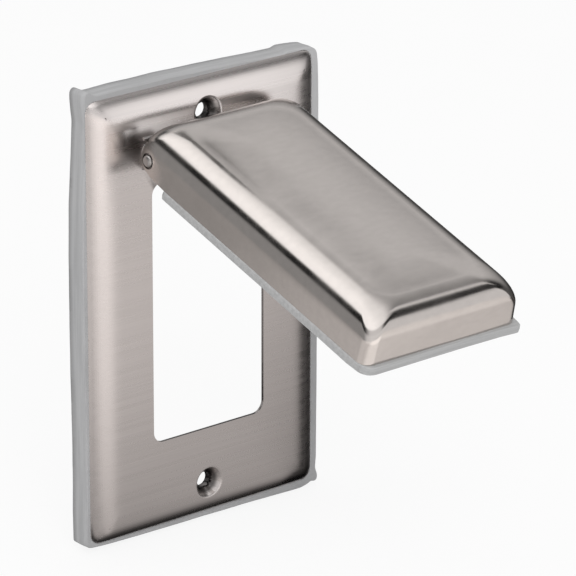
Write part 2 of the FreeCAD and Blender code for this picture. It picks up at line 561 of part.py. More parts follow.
def torsion_spring():
    """Coil round the pin: one leg rests on the plate, the other behind the lid's left wall."""
    vector = FreeCAD.Vector
    pitch, wire = number("coil_pitch"), number("wire")
    mean = number("pin_diameter") / 2 + number("coil_play") + wire / 2
    # The moving leg's end, turned with the open lid, and the fixed leg's end on the plate.
    back, up = number("lid_tail") + number("leg_gap") + wire / 2, number("leg_height")
    turned = math.radians(number("open_angle"))
    moving = vector(0, back * math.sin(turned) - up * math.cos(turned),
                    back * math.cos(turned) + up * math.sin(turned))
    fixed = vector(0, number("pin_standoff") - wire / 2, number("foot_height"))
    # Both legs leave the coil along its tangents.
    leave_fixed = math.atan2(fixed.z, fixed.y) - math.acos(mean / fixed.Length)
    leave_moving = math.atan2(moving.z, moving.y) + math.acos(mean / moving.Length)
    wound = (leave_fixed - leave_moving) % (2 * math.pi) + 2 * math.pi * (number("coil_turns") - 1)
    span = pitch * wound / (2 * math.pi)
    outer_end = -(value_of(EAR_FACE) - number("ear_sheet") - number("coil_gap") - wire / 2)
    coil = Part.makeHelix(pitch, span, mean)
    out = vector(0, math.cos(leave_fixed), math.sin(leave_fixed))
    along = vector(-1, 0, 0)
    across = along.cross(out)
    coil.transformShape(FreeCAD.Matrix(out.x, across.x, along.x, outer_end + span,
                                       out.y, across.y, along.y, 0,
                                       out.z, across.z, along.z, 0, 0, 0, 0, 1))
    slope = pitch / (2 * math.pi * mean)

    def heading(angle):
        return (vector(0, math.sin(angle), -math.cos(angle)) + along * slope).normalize()

    def on_coil(angle, x):
        return vector(x, mean * math.cos(angle), mean * math.sin(angle))

    def leg_length(tip):
        return math.sqrt(tip.Length ** 2 - mean ** 2) / math.cos(math.atan(slope))

    begin = on_coil(leave_fixed, outer_end + span)
    end = on_coil(leave_moving, outer_end)
    foot = begin - heading(leave_fixed) * leg_length(fixed)
    corner = end + heading(leave_moving) * leg_length(moving)
    tip_x = -(value_of("sizes.lid_width / 2") + number("leg_reach")
              - value_of(LEAN) * (value_of(LID_RIM) + up))
    tip = vector(tip_x, corner.y, corner.z)
    # The bend between the moving leg and its end.
    into, outof = heading(leave_moving), (tip - corner).normalize()
    half = into.getAngle(outof) / 2
    radius = number("leg_bend")
    first = corner - into * radius * math.tan(half)
    last = corner + outof * radius * math.tan(half)
    middle = corner + (outof - into).normalize() * radius * (1 / math.cos(half) - 1)
    path = Part.Wire([Part.makeLine(foot, begin)] + coil.Edges
                     + [Part.makeLine(end, first), Part.Arc(first, middle, last).toShape(),
                        Part.makeLine(last, tip)])
    section = Part.Wire([Part.makeCircle(wire / 2, foot, begin - foot)])
    spring = doc.addObject("Part::Feature", "torsion_spring")
    spring.Label = "torsion_spring"
    spring.Shape = path.makePipeShell([section], True, True)
    place_on_hinge(spring)
    return spring


pieces = [cover_plate(), lid(), hinge_pin(), torsion_spring(), lid_gasket(), wall_gasket()]
doc.recompute()

os.makedirs("parts", exist_ok=True)
for item in doc.Objects:
    if "Invalid" in item.State or "Error" in item.State:
        raise RuntimeError(f"{item.Name}: {item.State}")
for piece in pieces:
    if piece.Shape.isNull() or not piece.Shape.isValid():
        raise RuntimeError(f"{piece.Label}: bad shape")
for piece in pieces:
    box = piece.Shape.optimalBoundingBox()
    print(piece.Label, len(piece.Shape.Solids), "solid", round(piece.Shape.Volume, 1), "mm3", box)
    piece.Shape.exportStep(f"parts/{piece.Label}.step")
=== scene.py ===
import json
import math

import bmesh
import bpy
import numpy as np
from mathutils import Matrix, Vector, noise


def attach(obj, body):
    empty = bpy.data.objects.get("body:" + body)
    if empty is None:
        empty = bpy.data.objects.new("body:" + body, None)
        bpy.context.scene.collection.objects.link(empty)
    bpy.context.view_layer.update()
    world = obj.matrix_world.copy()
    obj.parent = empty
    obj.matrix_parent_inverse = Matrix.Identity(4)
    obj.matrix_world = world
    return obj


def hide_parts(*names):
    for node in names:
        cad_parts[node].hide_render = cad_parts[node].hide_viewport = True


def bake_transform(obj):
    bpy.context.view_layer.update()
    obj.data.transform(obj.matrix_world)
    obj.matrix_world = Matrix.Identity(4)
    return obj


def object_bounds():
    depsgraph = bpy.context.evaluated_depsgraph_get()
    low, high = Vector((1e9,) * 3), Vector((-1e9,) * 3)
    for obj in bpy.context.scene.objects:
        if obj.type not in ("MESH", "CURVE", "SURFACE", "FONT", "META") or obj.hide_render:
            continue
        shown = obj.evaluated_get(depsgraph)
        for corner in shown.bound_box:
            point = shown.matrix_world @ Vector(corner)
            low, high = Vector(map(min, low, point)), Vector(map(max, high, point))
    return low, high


# Receptacle cover with its lid open. +X right, +Y into the wall, +Z up. The scene is in metres,
# and sizes written here are in millimetres unless they say otherwise.
MM = 0.001

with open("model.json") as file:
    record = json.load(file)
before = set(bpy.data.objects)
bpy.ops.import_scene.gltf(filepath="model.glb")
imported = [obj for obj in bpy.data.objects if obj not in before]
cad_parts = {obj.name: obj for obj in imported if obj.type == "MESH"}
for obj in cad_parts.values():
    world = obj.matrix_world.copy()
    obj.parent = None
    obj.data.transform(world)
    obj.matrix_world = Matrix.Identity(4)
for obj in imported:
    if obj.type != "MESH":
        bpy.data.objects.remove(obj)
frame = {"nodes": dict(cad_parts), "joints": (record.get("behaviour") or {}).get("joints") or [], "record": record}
cad_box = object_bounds()
nodes = frame["nodes"]
hinge = next(j for j in frame["joints"] if j["name"] == "lid_hinge")
screws = next(m for m in frame["record"]["mounts"] if m["name"] == "screw_holes")

# The pin's middle in metres, the angle the lid stands open, and the screws' height off the middle.
PIN = Vector(hinge["pos_m"])
OPEN = math.radians(-hinge["range_deg"][0])
SCREW_LEVEL = screws["dims"]["spacing_y_mm"] / 2
# The open lid's own directions: from the pin to its free end, and out through its top.
ALONG = Vector((0, -math.sin(OPEN), -math.cos(OPEN)))
OUT = Vector((0, -math.cos(OPEN), math.sin(OPEN)))
# Edges that turn by more than this stay sharp.
SHARP = math.radians(40)


# Material nodes

class Nodes:
    """Short calls for building a node tree."""

    def __init__(self, tree):
        self.tree = tree
        tree.nodes.clear()

    def add(self, kind, **settings):
        node = self.tree.nodes.new(kind)
        for key, value in settings.items():
            setattr(node, key, value)
        return node

    def link(self, source, target):
        self.tree.links.new(source, target)

    def feed(self, socket, value):
        """Link another node's output to a socket, or set the socket to a plain value."""
        if isinstance(value, bpy.types.NodeSocket):
            self.link(value, socket)
        else:
            socket.default_value = value

    def put(self, node, **values):
        """Feed a node's inputs by name; spaces in a name are written as underscores."""
        for key, value in values.items():
            self.feed(node.inputs[key.replace("_", " ")], value)
        return node

    def math(self, operation, a, b=0.0):
        node = self.add("ShaderNodeMath", operation=operation)
        self.feed(node.inputs[0], a)
        self.feed(node.inputs[1], b)
        return node.outputs[0]

    def split(self, vector):
        return self.put(self.add("ShaderNodeSeparateXYZ"), Vector=vector).outputs

    def dot(self, a, direction):
        node = self.add("ShaderNodeVectorMath", operation="DOT_PRODUCT")
        self.link(a, node.inputs[0])
        node.inputs[1].default_value = direction
        return node.outputs["Value"]

    def shift(self, a, by):
        node = self.add("ShaderNodeVectorMath", operation="ADD")
        self.link(a, node.inputs[0])
        node.inputs[1].default_value = by
        return node.outputs[0]

    def ramp(self, value, low, high, to_low=0.0, to_high=1.0, smooth=True):
        node = self.add("ShaderNodeMapRange", interpolation_type="SMOOTHSTEP" if smooth else "LINEAR")
        return self.put(node, Value=value, From_Min=low, From_Max=high,
                        To_Min=to_low, To_Max=to_high).outputs["Result"]

    def mix(self, factor, a, b):
        """Colour a where the factor is 0, and b where it is 1."""
        node = self.add("ShaderNodeMix", data_type="RGBA")
        self.feed(node.inputs[0], factor)
        self.feed(node.inputs[6], a)
        self.feed(node.inputs[7], b)
        return node.outputs[2]

    def either(self, factor, a, b):
        """Shader a where the factor is 0, and b where it is 1."""
        node = self.add("ShaderNodeMixShader")
        self.feed(node.inputs[0], factor)
        self.link(a, node.inputs[1])
        self.link(b, node.inputs[2])
        return node.outputs[0]

    def place(self, scale=(1, 1, 1)):
        """Object coordinates, stretched by a scale per axis."""
        coordinate = self.add("ShaderNodeTexCoord").outputs["Object"]
        mapping = self.add("ShaderNodeMapping", vector_type="POINT")
        return self.put(mapping, Vector=coordinate, Scale=scale).outputs[0]

    def noise(self, vector, scale, detail=2.0, roughness=0.5):
        node = self.add("ShaderNodeTexNoise")
        return self.put(node, Vector=vector, Scale=scale, Detail=detail,
                        Roughness=roughness).outputs["Fac"]

    def bump(self, height, distance, normal=None):
        node = self.add("ShaderNodeBump")
        self.put(node, Height=height, Distance=distance, Strength=1.0)
        if normal is not None:
            self.link(normal, node.inputs["Normal"])
        return node.outputs[0]


def material(name):
    made = bpy.data.materials.new(name)
    made.use_nodes = True
    return made, Nodes(made.node_tree)


def surface(n, **values):
    """A Principled shader joined to the material's output."""
    shader = n.put(n.add("ShaderNodeBsdfPrincipled"), **values)
    n.link(shader.outputs[0], n.add("ShaderNodeOutputMaterial").inputs["Surface"])


def tinted(colour, share):
    """A colour made lighter or darker by a share, with full opacity."""
    return tuple(min(1.0, c * share) for c in colour) + (1.0,)


# Materials

def plate_shade(n):
    """Less light in the screw dimples and on the hinge ears: 1 in the open, about 0.25 there."""
    x, y, z = n.split(n.place())
    level = n.math("SUBTRACT", n.math("ABSOLUTE", z), SCREW_LEVEL * MM)
    around = n.math("SQRT", n.math("ADD", n.math("MULTIPLY", x, x), n.math("MULTIPLY", level, level)))
    dimples = n.ramp(around, 2.7 * MM, 3.6 * MM, 0.22, 1.0)
    ears = n.ramp(y, -10.2 * MM, -9.4 * MM, 0.25, 1.0)
    return n.math("MULTIPLY", dimples, ears)


def lid_shade(n):
    """Less light along the lid's rear edge, close to the plate, and most on its left: 0.3 there."""
    place = n.shift(n.place(), -PIN)
    darkest = n.ramp(n.split(place)[0], -6 * MM, 15 * MM, 0.3, 1.0)
    return n.ramp(n.dot(place, ALONG), -2.2 * MM, 1.4 * MM, darkest, 1.0)


def steel(name, colour, rough, brush, line_depth, wave_depth, anisotropic, shade=None):
    """Stainless steel with brush lines, brush being how dense they are along each axis, and a slow
    waviness. Both depths are in metres."""
    made, n = material(name)
    lines = n.noise(n.place(brush), 1.0, detail=4.0, roughness=0.7)
    streaks = n.noise(n.place(tuple(b * 0.22 for b in brush)), 1.0)
    cloud = n.noise(n.place(), 45.0, detail=1.5)
    grain = n.noise(n.place(), 2600.0, detail=1.0)
    tint = n.math("ADD", n.math("MULTIPLY", lines, 0.55), n.math("MULTIPLY", streaks, 0.45))
    base = n.mix(n.ramp(tint, 0.35, 0.65), tinted(colour, 0.97), tinted(colour, 1.03))
    # Painted shade: the base colour goes towards black where the shade mask falls below 1.
    if shade:
        base = n.mix(shade(n), (0.0, 0.0, 0.0, 1.0), base)
    roughness = n.math("ADD", n.ramp(streaks, 0.3, 0.7, rough - 0.03, rough + 0.03),
                       n.math("MULTIPLY", grain, 0.02))
    relief = n.bump(tint, line_depth, n.bump(cloud, wave_depth))
    surface(n, Base_Color=base, Metallic=1.0, Roughness=roughness, Normal=relief,
            Anisotropic=anisotropic)
    return made


def foam(name, colour, streak):
    """Smooth-skinned closed-cell foam: fine pores, faint streaks along the strip, and painted shade that
    darkens it next to the wall."""
    made, n = material(name)
    place = n.place()
    pores = n.noise(place, 3500.0)
    streaks = n.noise(n.place(streak), 1.0, detail=3.0, roughness=0.6)
    base = n.mix(n.ramp(streaks, 0.3, 0.7), tinted(colour, 0.90), tinted(colour, 1.07))
    # Painted shade: darker towards the wall, over the last 2.5 mm.
    base = n.mix(n.ramp(n.split(place)[1], -2.5 * MM, 0.0), base, tinted(colour, 0.70))
    surface(n, Base_Color=base, Roughness=0.75, Normal=n.bump(pores, 0.02 * MM),
            Specular_IOR_Level=0.3)
    return made


# Meshes

def smooth_faces(mesh):
    """Smooth shading that keeps the sharp edges."""
    for polygon in mesh.polygons:
        polygon.use_smooth = True
    mesh.set_sharp_from_angle(angle=SHARP)


def add_object(name, mesh):
    made = bpy.data.objects.new(name, mesh)
    bpy.context.scene.collection.objects.link(made)
    return made


def object_from(name, data):
    """An object from bmesh data, which is freed."""
    mesh = bpy.data.meshes.new(name)
    data.to_mesh(mesh)
    data.free()
    return add_object(name, mesh)


def mesh_object(name, vertices, faces):
    mesh = bpy.data.meshes.new(name)
    mesh.from_pydata([tuple(v) for v in vertices], [], faces)
    mesh.validate()
    mesh.update()
    smooth_faces(mesh)
    return add_object(name, mesh)


def swept_ring(name, sections):
    """A closed ring from its cross-sections, each a list of the same number of points."""
    count, around = len(sections), len(sections[0])
    vertices = [p for section in sections for p in section]
    faces = []
    for i in range(count):
        j = (i + 1) % count
        for k in range(around):
            m = (k + 1) % around
            faces.append((i * around + k, i * around + m, j * around + m, j * around + k))
    return mesh_object(name, vertices, faces)


def resample(points, step):
    """A closed outline with a point about every step, its corners kept."""
    out = []
    for (x0, z0), (x1, z1) in zip(points, points[1:] + points[:1]):
        pieces = max(1, round(math.hypot(x1 - x0, z1 - z0) / step))
        out += [(x0 + (x1 - x0) * k / pieces, z0 + (z1 - z0) * k / pieces) for k in range(pieces)]
    return out


def smooth_outline(points, rounds):
    """A closed outline softened by averaging each point with its neighbours."""
    array = np.array(points)
    for _ in range(rounds):
        array = 0.5 * array + 0.25 * (np.roll(array, 1, 0) + np.roll(array, -1, 0))
    return [tuple(p) for p in array]


def onto_rounded(point, box, radius):
    """The nearest place on a rounded rectangle, given as x0, x1, z0, z1."""
    x0, x1, z0, z1 = box
    cx = min(max(point[0], x0 + radius), x1 - radius)
    cz = min(max(point[1], z0 + radius), z1 - radius)
    dx, dz = point[0] - cx, point[1] - cz
    far = math.hypot(dx, dz) or 1.0
    return cx + radius * dx / far, cz + radius * dz / far


def outward(points):
    """Unit normals of a closed outline, pointing away from its middle."""
    array = np.array(points)
    along = np.roll(array, -1, 0) - np.roll(array, 1, 0)
    normal = np.stack([along[:, 1], -along[:, 0]], 1)
    normal /= np.maximum(np.linalg.norm(normal, axis=1, keepdims=True), 1e-9)
    if np.sum(normal * (array - array.mean(0))) < 0:
        normal = -normal
    return [tuple(v) for v in normal]


def ragged(point, seed, scale, size):
    """A small repeatable wobble at a place, up to about the size."""
    return size * noise.noise(Vector((point[0] / scale, point[1] / scale, seed)))


def lid_point(x, s, t):
    """A place on the open lid: x to the right, s from the pin to the free end, t out of its top."""
    return PIN + Vector((x * MM, 0, 0)) + ALONG * (s * MM) + OUT * (t * MM)


def build_wall_gasket():
    """Foam behind the plate, cut by hand: its outline wanders, with small nubs at the corners."""
    outline = [
        (-35.9, -57.6), (-36.0, -50.0), (-35.9, -40.0), (-35.9, -30.0), (-36.1, -14.9), (-36.2, 1.0),
        (-36.2, 16.0), (-35.9, 31.5), (-35.2, 41.5), (-34.9, 48.0), (-34.7, 51.5), (-35.0, 54.0),
        (-35.3, 57.4), (-35.2, 59.2), (-34.2, 59.9), (-33.0, 59.3), (-31.8, 58.5), (-29.4, 58.5),
        (-22.8, 58.7), (-16.7, 58.6), (-10.6, 58.6), (-4.5, 58.4), (1.6, 58.3), (11.0, 58.0),
        (20.4, 57.6), (26.7, 57.5), (27.6, 58.0), (33.0, 57.6), (35.6, 57.2), (36.9, 56.0),
        (37.3, 53.0), (37.5, 48.3), (37.6, 38.0), (37.6, 17.0), (37.4, -9.6), (37.3, -36.6),
        (37.2, -52.0), (36.9, -55.2), (37.3, -56.2), (37.7, -57.4), (37.4, -58.6), (36.5, -58.9),
        (35.6, -58.3), (34.6, -59.0), (32.0, -59.5), (28.4, -59.4),
        (15.4, -59.0), (-0.7, -58.8), (-16.5, -58.6), (-29.0, -58.3), (-34.2, -58.0),
    ]
    fine = smooth_outline(resample(outline, 0.5), 2)
    inner_box, inner_radius = (-31.1, 32.1, -53.6, 53.0), 3.0
    wall, front = 0.0, -6.0
    # Pairs of depth and how far the skin lies inside the outline there.
    skin = ((wall, 0.25), (-0.25, 0.03), (-2.0, 0.0), (-4.0, -0.05), (-5.7, 0.05), (front, 0.3))
    sections = []
    for (x, z), (nx, nz) in zip(fine, outward(fine)):
        qx, qz = onto_rounded((x, z), inner_box, inner_radius)
        section = []
        for depth, inset in skin:
            drift = ragged((x + z, depth * 3), 3.0, 9.0, 0.10) + ragged((x, z), 7.0, 2.0, 0.02) - inset
            section.append((x + nx * drift, depth, z + nz * drift))
        section += [(qx, front, qz), (qx, wall, qz)]
        sections.append([Vector(p) * MM for p in section])
    return swept_ring("foam_behind_plate", sections)


def build_lid_gasket():
    """Foam strip glued into the lid's rim; its outer edge stands a little beyond the walls."""
    outline = [
        (-23.8, 7.8), (-23.9, 9.0), (-23.9, 40.0), (-23.9, 70.0), (-24.0, 80.0), (-23.6, 84.4),
        (-22.4, 86.0), (-20.6, 86.6), (-10.0, 86.5), (5.0, 86.4), (18.0, 86.5), (23.2, 86.8),
        (23.9, 86.5), (24.2, 85.2), (24.6, 78.0), (24.5, 60.0), (24.5, 30.0), (24.6, 9.0),
        (24.4, 7.7), (12.0, 7.7), (0.0, 7.6), (-12.0, 7.7),
    ]
    fine = smooth_outline(resample(outline, 0.45), 2)
    inner_box = (-17.6, 17.6, 13.0, 79.0)
    wall_box = (-22.5, 22.5, 7.75, 84.4)
    radius = 3.0
    face, under_rim, upstand = -5.7, -3.42, -0.9
    # Pairs of level and how far the skin lies inside the outline there.
    skin = ((face, 0.35), (-5.5, 0.06), (-4.6, -0.04), (-3.65, 0.04), (under_rim, 0.3))
    sections = []
    for (x, s), (nx, ns) in zip(fine, outward(fine)):
        inner = onto_rounded((x, s), inner_box, radius)
        against_wall = onto_rounded((x, s), wall_box, radius)
        section = []
        for level, inset in skin:
            drift = ragged((x + s, level * 3), 11.0, 9.0, 0.06) - inset
            section.append(lid_point(x + nx * drift, s + ns * drift, level))
        section += [lid_point(*against_wall, under_rim), lid_point(*against_wall, upstand),
                    lid_point(*inner, upstand), lid_point(*inner, face)]
        sections.append(section)
    return swept_ring("foam_in_lid", sections)


def rounded_outline(box, radius, straight, corner):
    """A rounded rectangle as points: box is x0, x1, s0, s1; counts are per side and per corner."""
    x0, x1, s0, s1 = box
    centres = [(x1 - radius, s0 + radius), (x1 - radius, s1 - radius),
               (x0 + radius, s1 - radius), (x0 + radius, s0 + radius)]
    points = []
    for turn, (cx, cs) in enumerate(centres):
        for k in range(corner + 1):
            a = math.radians(90 * (turn - 1) + 90 * k / corner)
            points.append((cx + radius * math.cos(a), cs + radius * math.sin(a)))
        nx, ns = centres[(turn + 1) % 4]
        a = math.radians(90 * turn)
        start, end = points[-1], (nx + radius * math.cos(a), ns + radius * math.sin(a))
        run = (end[0] - start[0], end[1] - start[1])
        points += [(start[0] + run[0] * k / straight, start[1] + run[1] * k / straight)
                   for k in range(1, straight)]
    return points


def build_lid():
    """The drawn lid: one sheet with a deep roll all round and a slightly crowned top, cut off square
    at the hinge. It is made flat in the lid's own x, s and t, and then turned open."""
    rim, top, bend, sheet = -3.4, 9.1, 8.0, 0.8
    half, front, rear_full, rear = 23.6, 85.5, -5.7, -2.4
    lean_degrees = 3.0
    lean = math.tan(math.radians(lean_degrees))
    secant = 1 / math.cos(math.radians(lean_degrees))
    heel_lift, heel_run = 1.5, 9.4
    heel_end = rear + heel_run
    heel_radius = (heel_lift ** 2 + heel_run ** 2) / (2 * heel_lift)
    corner, corner_growth, least_corner = 3.0, 3.6, 1.0
    crown, swell, spine_inset = 0.35, 0.5, 15.0
    wall_rows, turns, per_side, per_corner = 4, 18, 16, 10
    top_shares = (0.92, 0.84, 0.76, 0.68, 0.6, 0.5, 0.4, 0.3, 0.2, 0.1, 0.0)

    def outline(inset, radius):
        box = (-half + inset, half - inset, rear_full + inset, front - inset)
        return rounded_outline(box, radius, per_side, per_corner)

    def rim_level(s):
        """The rim, which rises in an arc towards the hinge."""
        back = max(0.0, heel_end - s)
        return rim + heel_radius - math.sqrt(heel_radius ** 2 - back ** 2)

    def wall_rings(less, radius, roll_start):
        rings = []
        for k in range(wall_rows):
            ring = []
            for x, s in outline(less * secant, radius):
                low = rim_level(s)
                t = low + (roll_start - low) * k / wall_rows
                shift = (t - rim) * lean
                ring.append((x - math.copysign(min(shift, abs(x)), x),
                             s + shift * (1 if s < front / 2 else -1), t))
            rings.append(ring)
        return rings

    def roll_rings(less, start_corner):
        radius, centre = bend - less, top - bend
        wall_inset = (centre - rim) * lean + bend * secant
        rings = []
        for k in range(turns + 1):
            share = k / turns
            a = math.radians(lean_degrees + (90.0 - lean_degrees) * share)
            grown = start_corner + corner_growth * share * share * (3 - 2 * share)
            t = centre + radius * math.sin(a) - crown * share
            rings.append([(x, s, t) for x, s in outline(wall_inset - radius * math.cos(a), grown)])
        return rings

    def top_rings(last):
        """Rings that shrink onto a spine along the middle of the top, rising a little."""
        spine = (min(p[1] for p in last) + spine_inset, max(p[1] for p in last) - spine_inset)
        rings = []
        for share in top_shares:
            ring = []
            for x, s, t in last:
                q = min(max(s, spine[0]), spine[1])
                lift = crown * (1 - share ** 2) + swell * (1 - share ** 2.5)
                ring.append((x * share, q + (s - q) * share, t + lift))
            rings.append(ring)
        return rings

    def shell(less):
        """Rings of points from the rim to the middle of the top, less the sheet inside."""
        start_corner = max(corner - less, least_corner)
        roll_start = top - bend + (bend - less) * math.sin(math.radians(lean_degrees))
        rings = wall_rings(less, start_corner, roll_start) + roll_rings(less, start_corner)
        return rings + top_rings(rings[-1])

    rings = shell(0.0)[::-1] + shell(sheet)
    count = len(rings[0])
    data = bmesh.new()
    placed = [[data.verts.new(Vector(p) * MM) for p in ring] for ring in rings]
    for low, high in zip(placed, placed[1:]):
        for i in range(count):
            j = (i + 1) % count
            data.faces.new((low[i], low[j], high[j], high[i]))
    join = 0.002 * MM
    bmesh.ops.remove_doubles(data, verts=data.verts, dist=join)
    bmesh.ops.dissolve_degenerate(data, edges=data.edges, dist=join)
    bmesh.ops.recalc_face_normals(data, faces=data.faces)
    everything = data.verts[:] + data.edges[:] + data.faces[:]
    bmesh.ops.bisect_plane(data, geom=everything, plane_co=(0, rear * MM, 0), plane_no=(0, -1, 0),
                           clear_outer=True)
    bmesh.ops.holes_fill(data, edges=[e for e in data.edges if e.is_boundary], sides=0)
    bmesh.ops.recalc_face_normals(data, faces=data.faces)
    made = object_from("drawn_lid", data)
    # The pin's hole lies a little off the pin, so that its dark edge shows on one side.
    cut_round(made, centre=(0, 0.25, 0.2), radius=2.0, length=60.0)
    soften_edges(made, 0.12)
    turn = Matrix((Vector((1, 0, 0)), ALONG, OUT)).transposed()
    made.data.transform(Matrix.Translation(PIN) @ turn.to_4x4())
    finish_shading(made)
    return made


def cut_round(item, centre, radius, length):
    """Bore a round hole along X through an object."""
    data = bmesh.new()
    turn = Matrix.Rotation(math.pi / 2, 4, "Y")
    bmesh.ops.create_cone(data, cap_ends=True, segments=48, radius1=radius * MM, radius2=radius * MM,
                          depth=length * MM, matrix=Matrix.Translation(Vector(centre) * MM) @ turn)
    cutter = object_from("cutter", data)
    step = item.modifiers.new("bore", "BOOLEAN")
    step.operation, step.solver, step.object = "DIFFERENCE", "EXACT", cutter
    bake_modifiers(item)
    bpy.data.objects.remove(cutter)


def soften_edges(item, width):
    """A narrow bevel on the sharp edges."""
    step = item.modifiers.new("edges", "BEVEL")
    step.width, step.segments, step.limit_method = width * MM, 2, "ANGLE"
    step.angle_limit = math.radians(50)
    step.use_clamp_overlap = True
    bake_modifiers(item)


def bake_modifiers(item):
    bpy.context.view_layer.update()
    graph = bpy.context.evaluated_depsgraph_get()
    mesh = bpy.data.meshes.new_from_object(item.evaluated_get(graph))
    item.modifiers.clear()
    item.data = mesh


def finish_shading(item):
    """Smooth shading that keeps sharp edges and lets the larger faces lead."""
    smooth_faces(item.data)
    step = item.modifiers.new("shading", "WEIGHTED_NORMAL")
    step.mode, step.weight, step.keep_sharp = "FACE_AREA", 80, True
    bake_modifiers(item)


def build_plate():
    """The pressed plate, with the long soft run-in that pressing gives its rolled edge."""
    half_x, half_z, rim, face, sheet = 34.925, 57.15, -6.0, -9.0, 0.8
    run, corner_power = 9.0, 6.7
    # The last millimetre at the edge drops steeply, and the rest fades into the flat.
    edge, edge_drop = 1.0, 0.36
    main_drop, fade = rim - face - edge_drop, 3.15
    # Further in than this the solid is flat, so both sides of its sheet move together.
    flat_from = 4.25
    # Behind this level lies the rim, which stays.
    rim_level = rim - 0.02

    def inset(x, z):
        """Distance in from the outline, its corners rounded off."""
        a = max(0.0, run - (half_x - abs(x)))
        b = max(0.0, run - (half_z - abs(z)))
        return run - (a ** corner_power + b ** corner_power) ** (1 / corner_power)

    def rise(i):
        """How far the front stands out from the rim."""
        i = min(max(i, 0.0), run)
        steep = 1 - (1 - min(i / edge, 1.0)) ** 3
        return main_drop * (1 - (1 - i / run) ** fade) + edge_drop * steep

    data = bmesh.new()
    data.from_mesh(nodes["cover_plate"].data)
    bmesh.ops.remove_doubles(data, verts=data.verts, dist=0.001 * MM)
    cuts = [0.25, 0.5, 0.8, 1.1, 1.5, 1.9, 2.4, 2.9, 3.4, 4.0, 4.6, 5.2, 5.9, 6.6, 7.4, 8.2, run]
    for axis, half in ((0, half_x), (2, half_z)):
        for side in (-1, 1):
            for i in cuts:
                place, normal = [0, 0, 0], [0, 0, 0]
                place[axis], normal[axis] = side * (half - i) * MM, 1
                everything = data.verts[:] + data.edges[:] + data.faces[:]
                bmesh.ops.bisect_plane(data, geom=everything, plane_co=place, plane_no=normal)
    data.normal_update()
    for vertex in data.verts:
        x, y, z = vertex.co / MM
        i = inset(x, z)
        if i >= run or y > rim_level:
            continue
        front = rim - rise(i)
        if min(half_x - abs(x), half_z - abs(z)) > flat_from:
            y += front - face
        elif vertex.normal.y < 0:
            y = front
        else:
            y = min(front + sheet * 1.05, rim)
        vertex.co.y = min(y, rim) * MM
    made = object_from("pressed_plate", data)
    finish_shading(made)
    return made


def build_spring():
    """The wire spring, as its own mesh."""
    data = nodes["torsion_spring"].data.copy()
    made = add_object("wound_spring", data)
    data.materials.clear()
    for polygon in data.polygons:
        polygon.use_smooth = True
    return made


# Pieces

plate_steel = steel("plate_steel", (0.66, 0.615, 0.60), 0.27, (25, 2600, 2600), 0.0000004, 0.00003, 0.3,
                    shade=plate_shade)
lid_steel = steel("lid_steel", (0.645, 0.60, 0.572), 0.17, (300, 600, 600), 0.0000001, 0.00002, 0.0,
                  shade=lid_shade)
wire_steel = steel("wire_steel", (0.42, 0.40, 0.39), 0.30, (300, 300, 300), 0.000001, 0.00001, 0.0)
wall_foam = foam("wall_foam", (0.405, 0.405, 0.41), (40, 900, 40))
lid_foam = foam("lid_foam", (0.41, 0.41, 0.41), (40, 900, 900))

drawn_lid = build_lid()
drawn_lid.data.materials.append(lid_steel)
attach(drawn_lid, "lid")
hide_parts("lid")

plate = build_plate()
plate.data.materials.clear()
plate.data.materials.append(plate_steel)
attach(plate, "plate")
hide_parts("cover_plate")

pin = nodes["hinge_pin"].data
pin.materials.clear()
pin.materials.append(wire_steel)

wall_gasket = build_wall_gasket()
wall_gasket.data.materials.append(wall_foam)
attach(wall_gasket, "plate")
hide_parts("wall_gasket")

lid_gasket = build_lid_gasket()
lid_gasket.data.materials.append(lid_foam)
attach(lid_gasket, "lid")
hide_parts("lid_gasket")

spring = build_spring()
spring.data.materials.append(wire_steel)
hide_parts("torsion_spring")
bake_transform(spring)


# Floor, lights and camera

# How bright the floor looks in the metal, as pairs of compass angle and level. The angle is 0 in
# front, 90 to the right and -90 to the left, about a place at the plate's right.
FLOOR_LEVELS = ((-180, 0.15), (-140, 0.25), (-130, 0.35), (-116, 0.62), (-90, 0.78), (-60, 0.80), (20, 0.78),
                (36, 0.70), (43, 0.60), (50, 0.25), (56, 0.04), (68, 0.04), (73, 0.18), (78, 0.04),
                (110, 0.05), (180, 0.15))
# The same for the studio's walls, by the direction that the metal looks in.
WALL_LEVELS = ((-180, 0.20), (-150, 0.30), (-100, 0.34), (-60, 0.80), (-30, 0.92), (20, 0.88), (50, 0.76),
               (64, 0.10), (110, 0.10), (122, 0.38), (140, 0.30), (180, 0.20))


def compass(n, way):
    """The compass angle of a direction, as 0 to 1 for -180 to 180 degrees."""
    x, y, _ = n.split(way)
    front = n.math("MULTIPLY", y, -1.0)
    return n.math("ADD", n.math("DIVIDE", n.math("ARCTAN2", x, front), 2 * math.pi), 0.5)


def levels(n, value, stops):
    """Grey levels by compass angle, which comes as 0 to 1; stops are pairs of degrees and level."""
    node = n.add("ShaderNodeValToRGB")
    ramp = node.color_ramp
    ramp.interpolation = "EASE"
    while len(ramp.elements) < len(stops):
        ramp.elements.new(0.5)
    for element, (angle, level) in zip(ramp.elements, sorted(stops)):
        element.position = angle / 360 + 0.5
        element.color = (level, level, level, 1)
    n.link(value, node.inputs[0])
    return node.outputs[0]


